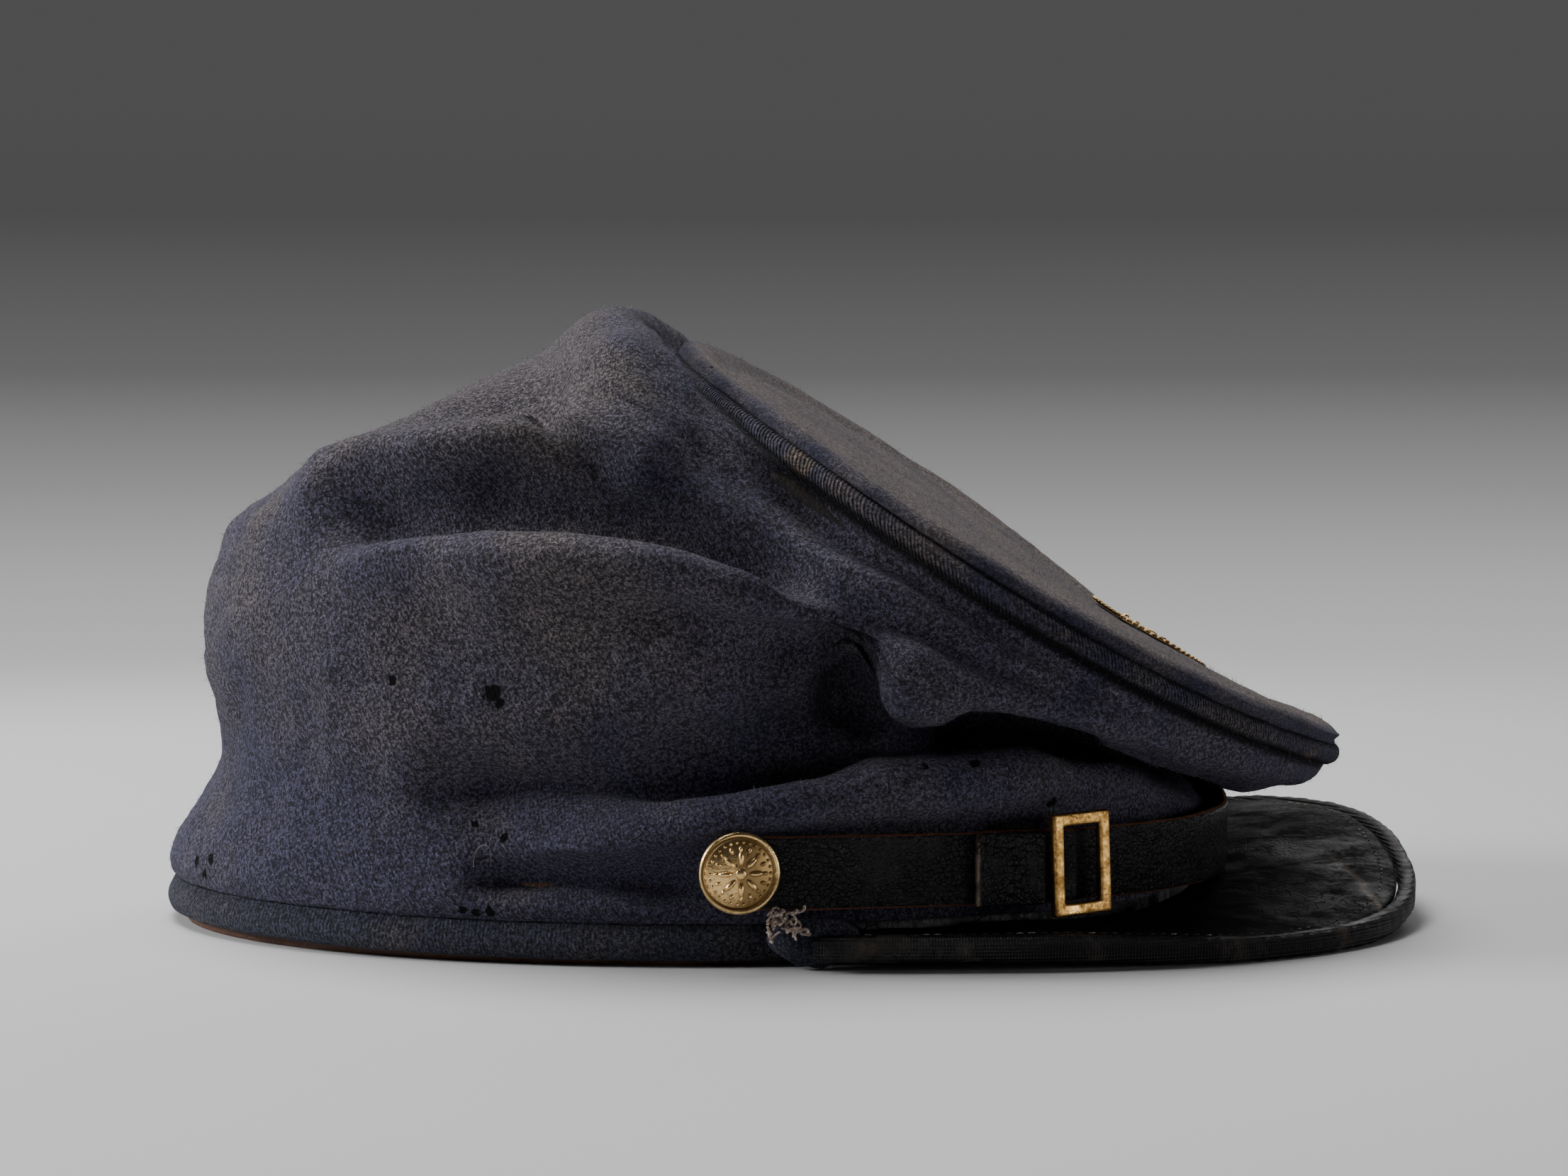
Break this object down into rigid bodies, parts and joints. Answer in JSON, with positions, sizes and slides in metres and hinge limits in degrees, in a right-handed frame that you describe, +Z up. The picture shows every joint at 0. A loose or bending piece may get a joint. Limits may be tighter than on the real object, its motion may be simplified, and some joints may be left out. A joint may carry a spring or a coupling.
{
  "type": "kepi cap",
  "caption": "Dark blue wool kepi with a slumped crown, piped round tip, black leather peak, buckled chin strap and brass side buttons.",
  "frame": {"origin": "on the surface that the cap rests on, under the middle of its outer box", "axes": "+X from the back of the cap to the tip of the peak, +Z up out of the head opening; -Y is the wearer's right side"},
  "size_m": [0.2445, 0.1768, 0.1194],
  "materials": {
    "felt_wall": "matte",
    "felt_tip": "matte",
    "felt_piping": "matte",
    "felt_welt": "matte",
    "band_leather": "satin",
    "peak_leather": "satin",
    "binding_leather": "satin",
    "strap_long_leather": "glossy",
    "strap_fold_leather": "glossy",
    "strap_short_leather": "glossy",
    "buckle_brass": "satin",
    "button_right_brass": "satin",
    "button_left_brass": "satin",
    "badge_brass": "satin"
  },
  "bodies": {
    "root": {"crown_side": "felt_wall", "crown_disc": "felt_tip", "disc_piping": "felt_piping", "base_welt": "felt_welt", "sweatband": "band_leather", "peak": "peak_leather", "peak_binding": "binding_leather", "strap_long": "strap_long_leather", "strap_short": "strap_short_leather", "strap_fold": "strap_fold_leather", "button_right": "button_right_brass", "button_left": "button_left_brass", "buckle": "buckle_brass", "badge": "badge_brass"}
  },
  "joints": []
}
